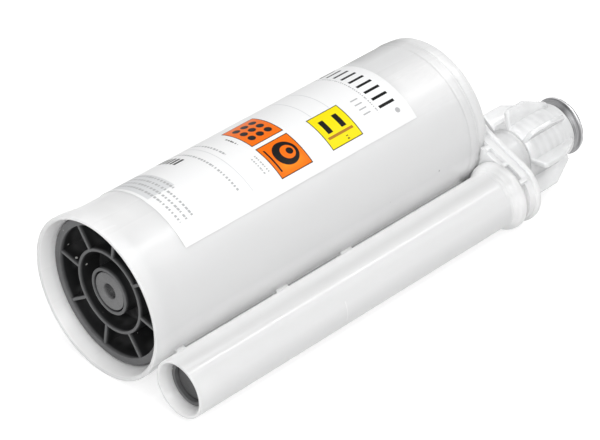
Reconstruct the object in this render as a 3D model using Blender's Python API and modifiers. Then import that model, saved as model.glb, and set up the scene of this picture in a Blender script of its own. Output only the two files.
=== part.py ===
"""Two-part adhesive cartridge with side-by-side barrels, lying on its side.

Both barrels run along X. The wide barrel holds the resin, the narrow one the hardener, and
both feed one threaded outlet that a plug and a winged nut keep shut. Each barrel has a piston
that a dispenser pushes forward. Inside the parent empty the wide barrel's axis is the line
y = z = 0, the narrow barrel lies towards -Y, and x = 0 is the plane of the rear rims.
"""

import math

import bmesh
import bpy
from mathutils import Matrix, Vector

MM = 0.001

# Clearances
GAP = 0.3 * MM
SEAL_GAP = 0.15 * MM
LABEL_GAP = 0.1 * MM

# Wide barrel
WIDE_BORE_R = 24.0 * MM
WIDE_WALL = 1.6 * MM
WIDE_LENGTH = 140.3 * MM
WIDE_RIM_FLARE = 0.9 * MM
WIDE_RIM_LENGTH = 5.0 * MM
WIDE_MOUTH_LEAD = 1.2 * MM
WIDE_LEAD_LENGTH = 3.6 * MM
WIDE_SKIRT = 1.8 * MM
END_WALL = 2.0 * MM
RIM_CHAMFER = 0.4 * MM
BORE_CORNER = 0.6 * MM
FRONT_BAND_LENGTH = 4.1 * MM
REAR_BAND_LENGTH = 2.5 * MM
BAND_GROOVE_WIDTH = 0.6 * MM
BAND_GROOVE_DEPTH = 0.35 * MM
NOSE_FALL = 0.2 * MM

# Narrow barrel
NARROW_BORE_R = 7.6 * MM
NARROW_WALL = 1.75 * MM
NARROW_SETBACK = 4.0 * MM
NARROW_MOUTH_LEAD = 0.8 * MM
NARROW_LEAD_LENGTH = 2.4 * MM
COLLAR_R = 11.5 * MM
COLLAR_LENGTH = 5.0 * MM
COLLAR_COVE = 3.0 * MM
AXIS_SPACING = 37.5 * MM

# Webs that tie the barrels together
WEB_PLACES = (10.6 * MM, 49.7 * MM, 76.7 * MM)
WEB_LENGTH = 4.8 * MM
WEB_HEIGHT = 1.4 * MM

# Outlet head
PLATE_THICKNESS = 4.2 * MM
PLATE_HALF_WIDTH = 11.5 * MM
PLATE_ROUNDING = 0.5 * MM
CORE_HALF_WIDTH = 8.0 * MM
TAB_PLACES = (25.9 * MM, 33.7 * MM, 41.5 * MM)
TAB_THICKNESS = 1.6 * MM
TAB_REACH = 10.4 * MM
OUTLET_OFFSET = 27.6 * MM
BOSS_R = 8.2 * MM
BOSS_LENGTH = 7.3 * MM
NECK_R = 7.6 * MM
NECK_LENGTH = 15.7 * MM
WIDE_PORT_R = 2.0 * MM
WIDE_PORT_OFFSET = 4.0 * MM
WIDE_PORT_ENTRY = 2.6 * MM
NARROW_PORT_R = 1.1 * MM
NARROW_PORT_OFFSET = 3.8 * MM

# Label
LABEL_START = 19.5 * MM
LABEL_LENGTH = 95.5 * MM
LABEL_THICKNESS = 0.15 * MM
LABEL_HALF_FACETS = 23

# Wide piston
WIDE_RECESS = 4.8 * MM
WIDE_PISTON_LENGTH = 12.0 * MM
WIDE_PISTON_RING = 2.4 * MM
WIDE_PISTON_FACE = 4.0 * MM
RIB_COUNT = 8
RIB_PHASE = math.radians(33.9)
RIB_THICKNESS = 1.0 * MM
RIB_SETBACK = 0.4 * MM
MID_RING_R = 13.75 * MM
MID_RING_WALL = 0.95 * MM
HUB_R = 7.6 * MM
HUB_WALL = 1.3 * MM
HUB_SETBACK = 0.8 * MM
HUB_DEPTH = 5.2 * MM
VENT_STEM_R = 3.0 * MM
VENT_HEAD_LENGTH = 4.4 * MM
VENT_DIMPLE_R = 2.75 * MM
VENT_DIMPLE_DEPTH = 2.4 * MM

# Narrow piston
NARROW_RECESS = 4.0 * MM
NARROW_PISTON_LENGTH = 11.2 * MM
NARROW_PISTON_RING = 1.3 * MM
NARROW_PISTON_FACE = 6.2 * MM
DISC_SETBACK = 1.3 * MM
DISC_LENGTH = 3.2 * MM
DISC_STEM_R = 1.5 * MM

# Piston seals
SEAL_SETBACK = 1.1 * MM
WIDE_SEAL_WIDTH = 1.7 * MM
WIDE_SEAL_DEPTH = 1.9 * MM
NARROW_SEAL_WIDTH = 1.5 * MM
NARROW_SEAL_DEPTH = 1.3 * MM

# Retaining nut
NUT_REAR_GAP = 0.9 * MM
NUT_WALL = 2.3 * MM
NUT_BODY_LENGTH = 16.0 * MM
NUT_LIP = 2.1 * MM
NUT_COLLAR_WALL = 1.4 * MM
WING_COUNT = 8
WING_PHASE = math.radians(13.5)
WING_R = 15.5 * MM
WING_THICKNESS = 1.6 * MM
WING_LENGTH = 9.4 * MM
WING_CORNER = 0.8 * MM
WING_TOE_R = 11.0 * MM
WING_TOE_LENGTH = 8.8 * MM

# Closure
GASKET_THICKNESS = 1.0 * MM
GASKET_WIDTH = 1.5 * MM
FLANGE_THICKNESS = 2.0 * MM
STEM_R = 5.6 * MM
STEM_REACH = 0.6 * MM
SPIGOT_R = 3.5 * MM
SPIGOT_LENGTH = 1.5 * MM
PRONG_LENGTH = 9.0 * MM
DISC_GAP = 1.0 * MM
DISC_R = 9.9 * MM
DISC_THICKNESS = 2.7 * MM
DISC_RIM = 2.2 * MM
DISC_DISH = 0.6 * MM
DISC_EDGE = 0.5 * MM

# Facets in a full turn
WIDE_STEPS = 72
NARROW_STEPS = 40
OUTLET_STEPS = 40
PORT_STEPS = 20

# Sizes that follow from the ones above
WIDE_R = WIDE_BORE_R + WIDE_WALL
WIDE_RIM_R = WIDE_R + WIDE_RIM_FLARE
NARROW_R = NARROW_BORE_R + NARROW_WALL
WALL_FRONT = WIDE_LENGTH - WIDE_SKIRT
WALL_BACK = WALL_FRONT - END_WALL
NARROW_LENGTH = WIDE_LENGTH - NARROW_SETBACK
PLATE_BACK = WALL_FRONT + GAP
PLATE_FRONT = PLATE_BACK + PLATE_THICKNESS
BOSS_FRONT = PLATE_FRONT + BOSS_LENGTH
NECK_FRONT = BOSS_FRONT + NECK_LENGTH
NUT_BACK = BOSS_FRONT + NUT_REAR_GAP
NUT_BORE_R = NECK_R + GAP
GASKET_BACK = NECK_FRONT + GAP
FLANGE_BACK = GASKET_BACK + GASKET_THICKNESS + GAP
FLANGE_FRONT = FLANGE_BACK + FLANGE_THICKNESS
LIP_BACK = FLANGE_FRONT + GAP
NUT_FRONT = LIP_BACK + NUT_LIP
STEM_FRONT = NUT_FRONT + STEM_REACH
DISC_BACK = NUT_FRONT + DISC_GAP
SPIGOT_FRONT = DISC_BACK + SPIGOT_LENGTH
CARTRIDGE_LENGTH = DISC_BACK + DISC_THICKNESS

# Both barrels touch the surface that the cartridge lies on
LEAN = math.asin((WIDE_RIM_R - COLLAR_R) / AXIS_SPACING)
NARROW_SIDE = AXIS_SPACING * math.cos(LEAN) + COLLAR_R

OUTLET_LINE = (-OUTLET_OFFSET, 0.0)
NARROW_LINE = (-AXIS_SPACING, 0.0)
WIDE_LINE = (0.0, 0.0)
WIDE_PORT_LINE = (-OUTLET_OFFSET + WIDE_PORT_OFFSET, 0.0)
NARROW_PORT_LINE = (-OUTLET_OFFSET - NARROW_PORT_OFFSET, 0.0)


def clear_scene():
    for obj in list(bpy.data.objects):
        bpy.data.objects.remove(obj, do_unlink=True)


def new_collection(name):
    collection = bpy.data.collections.new(name)
    bpy.context.scene.collection.children.link(collection)
    return collection


clear_scene()
PARTS = new_collection("adhesive_cartridge")
CUTTERS = new_collection("cutters")
CARTRIDGE = bpy.data.objects.new("cartridge_frame", None)
CARTRIDGE.location = (-CARTRIDGE_LENGTH / 2, (NARROW_SIDE - WIDE_RIM_R) / 2, WIDE_RIM_R)
CARTRIDGE.rotation_euler = (LEAN, 0, 0)
PARTS.objects.link(CARTRIDGE)


def material(name, colour, roughness, metallic=0.0):
    made = bpy.data.materials.new(name)
    made.use_nodes = True
    shader = made.node_tree.nodes["Principled BSDF"]
    shader.inputs["Base Color"].default_value = (*colour, 1.0)
    shader.inputs["Roughness"].default_value = roughness
    shader.inputs["Metallic"].default_value = metallic
    return made


def add_object(name, data, collection):
    obj = bpy.data.objects.new(name, data)
    obj.parent = CARTRIDGE
    collection.objects.link(obj)
    if collection == CUTTERS:
        obj.hide_render = True
        obj.display_type = "WIRE"
    return obj


def turned(name, outline, steps, line=WIDE_LINE, collection=None):
    """A solid turned about a line along X. Outline holds (x, radius) points, and closes on
    itself unless it starts and ends on the line."""
    count = len(outline)
    on_line = outline[0][1] == 0 and outline[-1][1] == 0
    area = sum(
        outline[i - 1][0] * outline[i][1] - outline[i][0] * outline[i - 1][1]
        for i in range(count)
    )
    points = outline if area > 0 else outline[::-1]
    mesh = bpy.data.meshes.new(name)
    edges = [(i, (i + 1) % count) for i in range(count - on_line)]
    mesh.from_pydata([(r, 0, x) for x, r in points], edges, [])
    obj = add_object(name, mesh, collection or PARTS)
    obj.location = (0, *line)
    obj.rotation_euler = (0, math.pi / 2, 0)
    turn = obj.modifiers.new("Turn", "SCREW")
    turn.axis = "Z"
    turn.steps = steps
    turn.render_steps = steps
    turn.use_merge_vertices = True
    turn.merge_threshold = 0.00001
    return obj


def flat_piece(name, outline, thickness, collection=None):
    """An outline in its own XY plane, filled and extruded both ways along its Z."""
    curve = bpy.data.curves.new(name, "CURVE")
    curve.dimensions = "2D"
    curve.fill_mode = "BOTH"
    curve.extrude = thickness / 2
    spline = curve.splines.new("POLY")
    spline.points.add(len(outline) - 1)
    for point, (u, v) in zip(spline.points, outline):
        point.co = (u, v, 0, 1)
    spline.use_cyclic_u = True
    guide = bpy.data.objects.new(name, curve)
    PARTS.objects.link(guide)
    graph = bpy.context.evaluated_depsgraph_get()
    mesh = bpy.data.meshes.new_from_object(guide.evaluated_get(graph))
    bpy.data.objects.remove(guide, do_unlink=True)
    bm = bmesh.new()
    bm.from_mesh(mesh)
    bmesh.ops.remove_doubles(bm, verts=bm.verts, dist=0.00001)
    bmesh.ops.recalc_face_normals(bm, faces=bm.faces)
    bm.to_mesh(mesh)
    bm.free()
    mesh.name = name
    return add_object(name, mesh, collection or PARTS)


def across(name, outline, back, front, collection=None):
    """A flat piece whose outline holds (y, z) points, from x = back to x = front."""
    obj = flat_piece(name, outline, front - back, collection)
    obj.rotation_euler = (math.pi / 2, 0, math.pi / 2)
    obj.location = ((back + front) / 2, 0, 0)
    return obj


def fan(name, outline, thickness, count, phase, line):
    """Blades that stand out from a line along X. Outline holds one blade's (x, radius) points."""
    obj = flat_piece(name, outline, thickness, CUTTERS)
    blade = obj.data.copy()
    bm = bmesh.new()
    for k in range(count):
        first = len(bm.verts)
        bm.from_mesh(blade)
        bm.verts.ensure_lookup_table()
        angle = phase + 2 * math.pi * k / count
        turn = Matrix.Rotation(angle, 3, "X")
        bmesh.ops.rotate(bm, verts=bm.verts[first:], cent=(0, 0, 0), matrix=turn)
    bm.to_mesh(obj.data)
    bm.free()
    bpy.data.meshes.remove(blade)
    obj.location = (0, *line)
    return obj


def box(name, low, high):
    """A box cutter between two corners."""
    size = [b - a for a, b in zip(low, high)]
    bm = bmesh.new()
    bmesh.ops.create_cube(bm, size=1)
    bmesh.ops.scale(bm, vec=size, verts=bm.verts)
    mesh = bpy.data.meshes.new(name)
    bm.to_mesh(mesh)
    bm.free()
    obj = add_object(name, mesh, CUTTERS)
    obj.location = [(a + b) / 2 for a, b in zip(low, high)]
    return obj


def rod_between(name, start, end, radius):
    """A round cutter from one point to another."""
    start = Vector(start)
    run = Vector(end) - start
    bm = bmesh.new()
    bmesh.ops.create_cone(
        bm, cap_ends=True, segments=PORT_STEPS, radius1=radius, radius2=radius, depth=run.length
    )
    mesh = bpy.data.meshes.new(name)
    bm.to_mesh(mesh)
    bm.free()
    obj = add_object(name, mesh, CUTTERS)
    obj.location = start + run / 2
    obj.rotation_euler = run.to_track_quat("Z", "Y").to_euler()
    return obj


def stadium(half_width, far, near, steps=24):
    """(y, z) points of a long round-ended outline, with round ends centred at y = far and near."""
    points = []
    for centre, start in ((near, -math.pi / 2), (far, math.pi / 2)):
        for i in range(steps + 1):
            angle = start + math.pi * i / steps
            points.append((centre + half_width * math.cos(angle), half_width * math.sin(angle)))
    return points


def combine(obj, operation, others):
    for other in others:
        change = obj.modifiers.new(other.name, "BOOLEAN")
        change.operation = operation
        change.solver = "EXACT"
        change.object = other


def port_cutters(name):
    """The two ways from the barrels to the outlet: the wide one slants in, then both run straight."""
    wide_y = WIDE_PORT_LINE[0]
    entry = (WALL_BACK - END_WALL, wide_y + WIDE_PORT_ENTRY, 0)
    bend = (PLATE_FRONT, wide_y, 0)
    back = bend[0] - WIDE_PORT_R / 2
    front = NECK_FRONT + END_WALL
    reach = NARROW_LENGTH - 2 * END_WALL
    return [
        rod_between(name + "_slant", entry, bend, WIDE_PORT_R),
        rod_between(name + "_wide", (back, wide_y, 0), (front, wide_y, 0), WIDE_PORT_R),
        rod_between(
            name + "_narrow", (reach, NARROW_PORT_LINE[0], 0), (front, NARROW_PORT_LINE[0], 0),
            NARROW_PORT_R,
        ),
    ]


def make_wide_barrel():
    mouth_r = WIDE_BORE_R + WIDE_MOUTH_LEAD
    nose_r = WIDE_R - NOSE_FALL
    groove_r = WIDE_R - BAND_GROOVE_DEPTH
    front_band = WIDE_LENGTH - FRONT_BAND_LENGTH
    rear_band = front_band - BAND_GROOVE_WIDTH - REAR_BAND_LENGTH
    outline = [
        (WALL_BACK, 0),
        (WALL_BACK, WIDE_BORE_R - BORE_CORNER),
        (WALL_BACK - BORE_CORNER, WIDE_BORE_R),
        (WIDE_LEAD_LENGTH, WIDE_BORE_R),
        (0, mouth_r),
        (0, WIDE_RIM_R - RIM_CHAMFER),
        (RIM_CHAMFER, WIDE_RIM_R),
        (WIDE_RIM_LENGTH, WIDE_RIM_R),
        (WIDE_RIM_LENGTH + WIDE_RIM_FLARE, WIDE_R),
        (rear_band - BAND_GROOVE_WIDTH, WIDE_R),
        (rear_band - BAND_GROOVE_WIDTH / 2, groove_r),
        (rear_band, WIDE_R),
        (front_band - BAND_GROOVE_WIDTH, WIDE_R),
        (front_band - BAND_GROOVE_WIDTH / 2, groove_r),
        (front_band, nose_r),
        (WIDE_LENGTH - RIM_CHAMFER, nose_r),
        (WIDE_LENGTH, nose_r - RIM_CHAMFER),
        (WIDE_LENGTH, WIDE_BORE_R - WIDE_RIM_FLARE / 3),
        (WALL_FRONT, WIDE_BORE_R - WIDE_RIM_FLARE / 3),
        (WALL_FRONT, 0),
    ]
    barrel = turned("wide_barrel", outline, WIDE_STEPS)
    low_y = -(AXIS_SPACING - NARROW_R - GAP)
    webs = [
        box(
            f"web_{i}",
            (x - WEB_LENGTH / 2, low_y, -WEB_HEIGHT / 2),
            (x + WEB_LENGTH / 2, -WIDE_R + WIDE_WALL / 2, WEB_HEIGHT / 2),
        )
        for i, x in enumerate(WEB_PLACES)
    ]
    combine(barrel, "UNION", webs)
    seat = stadium(PLATE_HALF_WIDTH + GAP, -AXIS_SPACING, 0)
    notch = across("plate_notch", seat, WALL_FRONT, WIDE_LENGTH + END_WALL, CUTTERS)
    combine(barrel, "DIFFERENCE", [notch, *port_cutters("barrel_port")])
    return barrel


def make_narrow_barrel():
    mouth_r = NARROW_BORE_R + NARROW_MOUTH_LEAD
    wall_back = NARROW_LENGTH - END_WALL
    collar_back = NARROW_LENGTH - COLLAR_LENGTH
    outline = [
        (wall_back, 0),
        (wall_back, NARROW_BORE_R - BORE_CORNER),
        (wall_back - BORE_CORNER, NARROW_BORE_R),
        (NARROW_LEAD_LENGTH, NARROW_BORE_R),
        (0, mouth_r),
        (0, NARROW_R - RIM_CHAMFER / 2),
        (RIM_CHAMFER / 2, NARROW_R),
        (collar_back - COLLAR_COVE, NARROW_R),
    ]
    rise = COLLAR_R - RIM_CHAMFER - NARROW_R
    for i in range(1, 5):
        angle = math.pi / 2 * i / 4
        outline.append(
            (collar_back - COLLAR_COVE * (1 - math.sin(angle)), NARROW_R + rise * (1 - math.cos(angle)))
        )
    outline += [
        (collar_back + RIM_CHAMFER, COLLAR_R),
        (NARROW_LENGTH - RIM_CHAMFER, COLLAR_R),
        (NARROW_LENGTH, COLLAR_R - RIM_CHAMFER),
        (NARROW_LENGTH, 0),
    ]
    barrel = turned("narrow_barrel", outline, NARROW_STEPS, NARROW_LINE)
    combine(barrel, "DIFFERENCE", [port_cutters("narrow_barrel_port")[2]])
    return barrel


def make_outlet_head():
    """The plate that bridges both barrels, the boss and the neck, with both ways through them."""
    plate = across(
        "outlet_head", stadium(PLATE_HALF_WIDTH, -AXIS_SPACING, 0), PLATE_BACK, PLATE_FRONT
    )
    rounding = plate.modifiers.new("Rounded edges", "BEVEL")
    rounding.width = PLATE_ROUNDING
    rounding.segments = 2
    rounding.limit_method = "ANGLE"
    rounding.angle_limit = math.radians(40)
    bite = PLATE_THICKNESS / 4
    core_back = NARROW_LENGTH + GAP
    core_outline = stadium(CORE_HALF_WIDTH, -AXIS_SPACING, -WIDE_BORE_R)
    core = across("head_core", core_outline, core_back, PLATE_BACK + bite, CUTTERS)
    tabs = [
        box(
            f"tab_{i}",
            (core_back, -y - TAB_THICKNESS / 2, -TAB_REACH),
            (PLATE_BACK + bite, -y + TAB_THICKNESS / 2, TAB_REACH),
        )
        for i, y in enumerate(TAB_PLACES)
    ]
    boss = turned(
        "boss",
        [
            (PLATE_FRONT - bite, 0),
            (PLATE_FRONT - bite, BOSS_R + WIDE_WALL),
            (PLATE_FRONT, BOSS_R + WIDE_WALL),
            (PLATE_FRONT + WIDE_WALL, BOSS_R),
            (BOSS_FRONT, BOSS_R),
            (BOSS_FRONT, NECK_R),
            (NECK_FRONT - RIM_CHAMFER, NECK_R),
            (NECK_FRONT, NECK_R - RIM_CHAMFER),
            (NECK_FRONT, 0),
        ],
        OUTLET_STEPS,
        OUTLET_LINE,
        CUTTERS,
    )
    room = turned(
        "wide_barrel_room",
        [
            (core_back - END_WALL, 0),
            (core_back - END_WALL, WIDE_R + GAP),
            (PLATE_BACK, WIDE_R + GAP),
            (PLATE_BACK, 0),
        ],
        WIDE_STEPS,
        WIDE_LINE,
        CUTTERS,
    )
    combine(core, "UNION", tabs)
    combine(core, "DIFFERENCE", [room])
    combine(plate, "UNION", [core, boss])
    combine(plate, "DIFFERENCE", port_cutters("head_port"))
    return plate


def make_label():
    """A film that wraps the side of the wide barrel away from the narrow one."""
    step = 2 * math.pi / WIDE_STEPS
    radius = WIDE_R + LABEL_GAP
    bm = bmesh.new()
    bmesh.ops.create_cone(
        bm, cap_ends=False, segments=WIDE_STEPS, radius1=radius, radius2=radius, depth=LABEL_LENGTH
    )
    # The unturned tube's X lies along -Z once the label is placed, and its Y along Y
    edge = LABEL_HALF_FACETS * step
    outside = [
        face for face in bm.faces
        if abs(math.atan2(-face.calc_center_median().x, face.calc_center_median().y)) > edge
    ]
    bmesh.ops.delete(bm, geom=outside, context="FACES")
    mesh = bpy.data.meshes.new("label")
    bm.to_mesh(mesh)
    bm.free()
    label = add_object("label", mesh, PARTS)
    label.rotation_euler = (0, math.pi / 2, 0)
    label.location = (LABEL_START + LABEL_LENGTH / 2, 0, 0)
    film = label.modifiers.new("Film", "SOLIDIFY")
    film.thickness = LABEL_THICKNESS
    film.offset = 1
    return label


def seal_ring(name, bore_r, depth, front, width, steps, line):
    """A lipped ring between a piston's groove and the bore that it wipes."""
    outer = bore_r - SEAL_GAP
    inner = bore_r - GAP - depth + GAP
    shoulder = outer - width / 5
    outline = [
        (front - width, inner),
        (front, inner),
        (front, shoulder),
        (front - width / 4, outer),
        (front - width / 2, outer),
        (front - width, shoulder),
    ]
    return turned(name, outline, steps, line)


def make_wide_piston():
    """Ribbed like a wheel: outer ring, mid ring and hub on one face, joined by radial ribs."""
    back = WIDE_RECESS
    front = back + WIDE_PISTON_LENGTH
    outer = WIDE_BORE_R - GAP
    ring_inner = outer - WIDE_PISTON_RING
    floor = front - WIDE_PISTON_FACE
    groove_front = front - SEAL_SETBACK
    groove_back = groove_front - WIDE_SEAL_WIDTH - 2 * GAP
    groove_r = outer - WIDE_SEAL_DEPTH
    hub_back = back + HUB_SETBACK
    socket_r = HUB_R - HUB_WALL
    hole_r = VENT_STEM_R + GAP
    rib_back = back + RIB_SETBACK
    outline = [
        (back, ring_inner),
        (back, outer - RIM_CHAMFER),
        (back + RIM_CHAMFER, outer),
        (groove_back, outer),
        (groove_back, groove_r),
        (groove_front, groove_r),
        (groove_front, outer),
        (front - RIM_CHAMFER, outer),
        (front, outer - RIM_CHAMFER),
        (front, hole_r),
        (hub_back + HUB_DEPTH, hole_r),
        (hub_back + HUB_DEPTH, socket_r),
        (hub_back, socket_r),
        (hub_back, HUB_R),
        (floor, HUB_R),
        (floor, MID_RING_R - MID_RING_WALL),
        (rib_back, MID_RING_R - MID_RING_WALL),
        (rib_back, MID_RING_R),
        (floor, MID_RING_R),
        (floor, ring_inner),
    ]
    piston = turned("wide_piston", outline, WIDE_STEPS)
    inner = MID_RING_R - MID_RING_WALL / 2
    reach = ring_inner + WIDE_PISTON_RING / 4
    sunk = floor + RIB_THICKNESS / 2
    rib = [(rib_back, inner), (sunk, inner), (sunk, reach), (rib_back, reach)]
    ribs = fan("ribs", rib, RIB_THICKNESS, RIB_COUNT, RIB_PHASE, WIDE_LINE)
    combine(piston, "UNION", [ribs])
    seal = seal_ring(
        "wide_piston_seal", WIDE_BORE_R, WIDE_SEAL_DEPTH, groove_front - GAP, WIDE_SEAL_WIDTH,
        WIDE_STEPS, WIDE_LINE,
    )
    head_r = socket_r - GAP
    head_front = hub_back + HUB_DEPTH - GAP
    head_back = head_front - VENT_HEAD_LENGTH
    pin = turned(
        "wide_vent_pin",
        [
            (head_back + VENT_DIMPLE_DEPTH, 0),
            (head_back + VENT_DIMPLE_DEPTH, VENT_DIMPLE_R / 2),
            (head_back + VENT_DIMPLE_DEPTH / 2, VENT_DIMPLE_R),
            (head_back, VENT_DIMPLE_R),
            (head_back, head_r - GAP),
            (head_back + GAP, head_r),
            (head_front, head_r),
            (head_front, VENT_STEM_R),
            (front, VENT_STEM_R),
            (front, 0),
        ],
        NARROW_STEPS,
    )
    return piston, seal, pin


def make_narrow_piston():
    back = NARROW_RECESS
    front = back + NARROW_PISTON_LENGTH
    outer = NARROW_BORE_R - GAP
    ring_inner = outer - NARROW_PISTON_RING
    floor = front - NARROW_PISTON_FACE
    groove_front = front - SEAL_SETBACK
    groove_back = groove_front - NARROW_SEAL_WIDTH - 2 * GAP
    groove_r = outer - NARROW_SEAL_DEPTH
    hole_r = DISC_STEM_R + GAP
    outline = [
        (back, ring_inner),
        (back, outer - RIM_CHAMFER),
        (back + RIM_CHAMFER, outer),
        (groove_back, outer),
        (groove_back, groove_r),
        (groove_front, groove_r),
        (groove_front, outer),
        (front - RIM_CHAMFER, outer),
        (front, outer - RIM_CHAMFER),
        (front, hole_r),
        (floor, hole_r),
        (floor, ring_inner),
    ]
    piston = turned("narrow_piston", outline, NARROW_STEPS, NARROW_LINE)
    seal = seal_ring(
        "narrow_piston_seal", NARROW_BORE_R, NARROW_SEAL_DEPTH, groove_front - GAP, NARROW_SEAL_WIDTH,
        NARROW_STEPS, NARROW_LINE,
    )
    disc_r = ring_inner - GAP
    disc_back = back + DISC_SETBACK
    disc_front = disc_back + DISC_LENGTH
    disc = turned(
        "narrow_vent_disc",
        [
            (disc_back, 0),
            (disc_back, disc_r - GAP),
            (disc_back + GAP, disc_r),
            (disc_front, disc_r),
            (disc_front, DISC_STEM_R),
            (front, DISC_STEM_R),
            (front, 0),
        ],
        NARROW_STEPS,
        NARROW_LINE,
    )
    return piston, seal, disc


def make_nut():
    """A hollow nut with a front lip that clamps the plug, and eight wings to turn it by."""
    body_r = NUT_BORE_R + NUT_WALL
    collar_r = NUT_BORE_R + NUT_COLLAR_WALL
    body_front = NUT_BACK + NUT_BODY_LENGTH
    outline = [
        (NUT_BACK + RIM_CHAMFER, NUT_BORE_R),
        (LIP_BACK, NUT_BORE_R),
        (LIP_BACK, STEM_R + GAP),
        (NUT_FRONT, STEM_R + GAP),
        (NUT_FRONT, collar_r - RIM_CHAMFER),
        (NUT_FRONT - RIM_CHAMFER, collar_r),
        (body_front + NUT_COLLAR_WALL, collar_r),
        (body_front, body_r - RIM_CHAMFER),
        (body_front - NUT_WALL, body_r),
        (NUT_BACK + RIM_CHAMFER, body_r),
        (NUT_BACK, body_r - RIM_CHAMFER),
        (NUT_BACK, NUT_BORE_R + RIM_CHAMFER),
    ]
    nut = turned("retaining_nut", outline, OUTLET_STEPS, OUTLET_LINE)
    root = NUT_BORE_R + NUT_WALL / 3
    toe = NUT_BACK + WING_LENGTH + WING_TOE_LENGTH
    wing = [
        (NUT_BACK, root),
        (NUT_BACK, WING_R - WING_CORNER),
        (NUT_BACK + WING_CORNER, WING_R),
        (NUT_BACK + WING_LENGTH - WING_CORNER, WING_R),
        (NUT_BACK + WING_LENGTH + WING_CORNER, WING_R - WING_CORNER),
        (toe, WING_TOE_R),
        (toe + WING_CORNER, root),
    ]
    wings = fan("wings", wing, WING_THICKNESS, WING_COUNT, WING_PHASE, OUTLET_LINE)
    combine(nut, "UNION", [wings])
    return nut


def make_closure():
    """Plug with a prong for each way out, its gasket, and the metal disc pressed on its spigot."""
    flange_r = NUT_BORE_R - GAP
    plug = turned(
        "closure_plug",
        [
            (FLANGE_BACK, 0),
            (FLANGE_BACK, flange_r),
            (FLANGE_FRONT, flange_r),
            (FLANGE_FRONT, STEM_R),
            (STEM_FRONT, STEM_R),
            (STEM_FRONT, SPIGOT_R),
            (SPIGOT_FRONT - GAP, SPIGOT_R),
            (SPIGOT_FRONT - GAP, 0),
        ],
        OUTLET_STEPS,
        OUTLET_LINE,
    )
    prongs = [
        turned(
            name,
            [
                (FLANGE_BACK - PRONG_LENGTH, 0),
                (FLANGE_BACK - PRONG_LENGTH, radius / 2),
                (FLANGE_BACK - PRONG_LENGTH + radius, radius),
                (FLANGE_BACK + FLANGE_THICKNESS / 2, radius),
                (FLANGE_BACK + FLANGE_THICKNESS / 2, 0),
            ],
            PORT_STEPS,
            line,
            CUTTERS,
        )
        for name, radius, line in (
            ("wide_prong", WIDE_PORT_R - GAP, WIDE_PORT_LINE),
            ("narrow_prong", NARROW_PORT_R - GAP, NARROW_PORT_LINE),
        )
    ]
    combine(plug, "UNION", prongs)
    gasket = turned(
        "plug_gasket",
        [
            (GASKET_BACK, flange_r - GASKET_WIDTH),
            (GASKET_BACK, flange_r),
            (GASKET_BACK + GASKET_THICKNESS, flange_r),
            (GASKET_BACK + GASKET_THICKNESS, flange_r - GASKET_WIDTH),
        ],
        OUTLET_STEPS,
        OUTLET_LINE,
    )
    disc_front = DISC_BACK + DISC_THICKNESS
    disc = turned(
        "closure_disc",
        [
            (SPIGOT_FRONT, 0),
            (SPIGOT_FRONT, SPIGOT_R + GAP),
            (DISC_BACK, SPIGOT_R + GAP),
            (DISC_BACK, DISC_R - 2 * DISC_EDGE),
            (DISC_BACK + DISC_EDGE, DISC_R - DISC_EDGE),
            (disc_front - DISC_EDGE, DISC_R),
            (disc_front, DISC_R - DISC_EDGE),
            (disc_front, DISC_R - DISC_RIM),
            (disc_front - DISC_DISH, DISC_R - DISC_RIM - DISC_DISH),
            (disc_front - DISC_DISH, 0),
        ],
        OUTLET_STEPS,
        OUTLET_LINE,
    )
    return plug, gasket, disc


def settle(obj, look):
    """Keep the modelled shape as the object's own mesh, shaded smooth up to its sharp edges."""
    graph = bpy.context.evaluated_depsgraph_get()
    mesh = bpy.data.meshes.new_from_object(obj.evaluated_get(graph))
    obj.modifiers.clear()
    obj.data = mesh
    mesh.name = obj.name
    mesh.materials.clear()
    mesh.materials.append(look)
    mesh.shade_smooth()
    mesh.set_sharp_from_angle(angle=math.radians(35))


def build():
    natural = material("natural_plastic", (0.90, 0.90, 0.89), 0.32)
    film = material("label_film", (0.95, 0.95, 0.95), 0.35)
    charcoal = material("charcoal_plastic", (0.055, 0.056, 0.06), 0.5)
    grey = material("grey_plastic", (0.16, 0.16, 0.165), 0.45)
    rubber = material("seal_rubber", (0.03, 0.03, 0.03), 0.7)
    clear = material("clear_plastic", (0.82, 0.83, 0.83), 0.2)
    steel = material("disc_metal", (0.6, 0.6, 0.62), 0.25, 1.0)
    wide_piston, wide_seal, wide_pin = make_wide_piston()
    narrow_piston, narrow_seal, narrow_disc = make_narrow_piston()
    plug, gasket, disc = make_closure()
    looks = {
        make_wide_barrel(): natural,
        make_narrow_barrel(): natural,
        make_outlet_head(): natural,
        make_label(): film,
        wide_piston: charcoal,
        wide_seal: rubber,
        wide_pin: grey,
        narrow_piston: charcoal,
        narrow_seal: rubber,
        narrow_disc: grey,
        make_nut(): clear,
        plug: grey,
        gasket: rubber,
        disc: steel,
    }
    bpy.context.view_layer.update()
    for obj, look in looks.items():
        settle(obj, look)


build()
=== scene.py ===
"""The two-part adhesive cartridge as it lies on a white table, with its moulded and printed detail.

Every piece is modelled in millimetres in the cartridge's own frame: x runs from the plane of the
rear rims to the outlet, the wide barrel's axis is the line y = z = 0, and the narrow barrel lies
towards -Y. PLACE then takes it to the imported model's frame, in metres.
"""

import math

import bmesh
import bpy
from mathutils import Matrix, Vector


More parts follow.
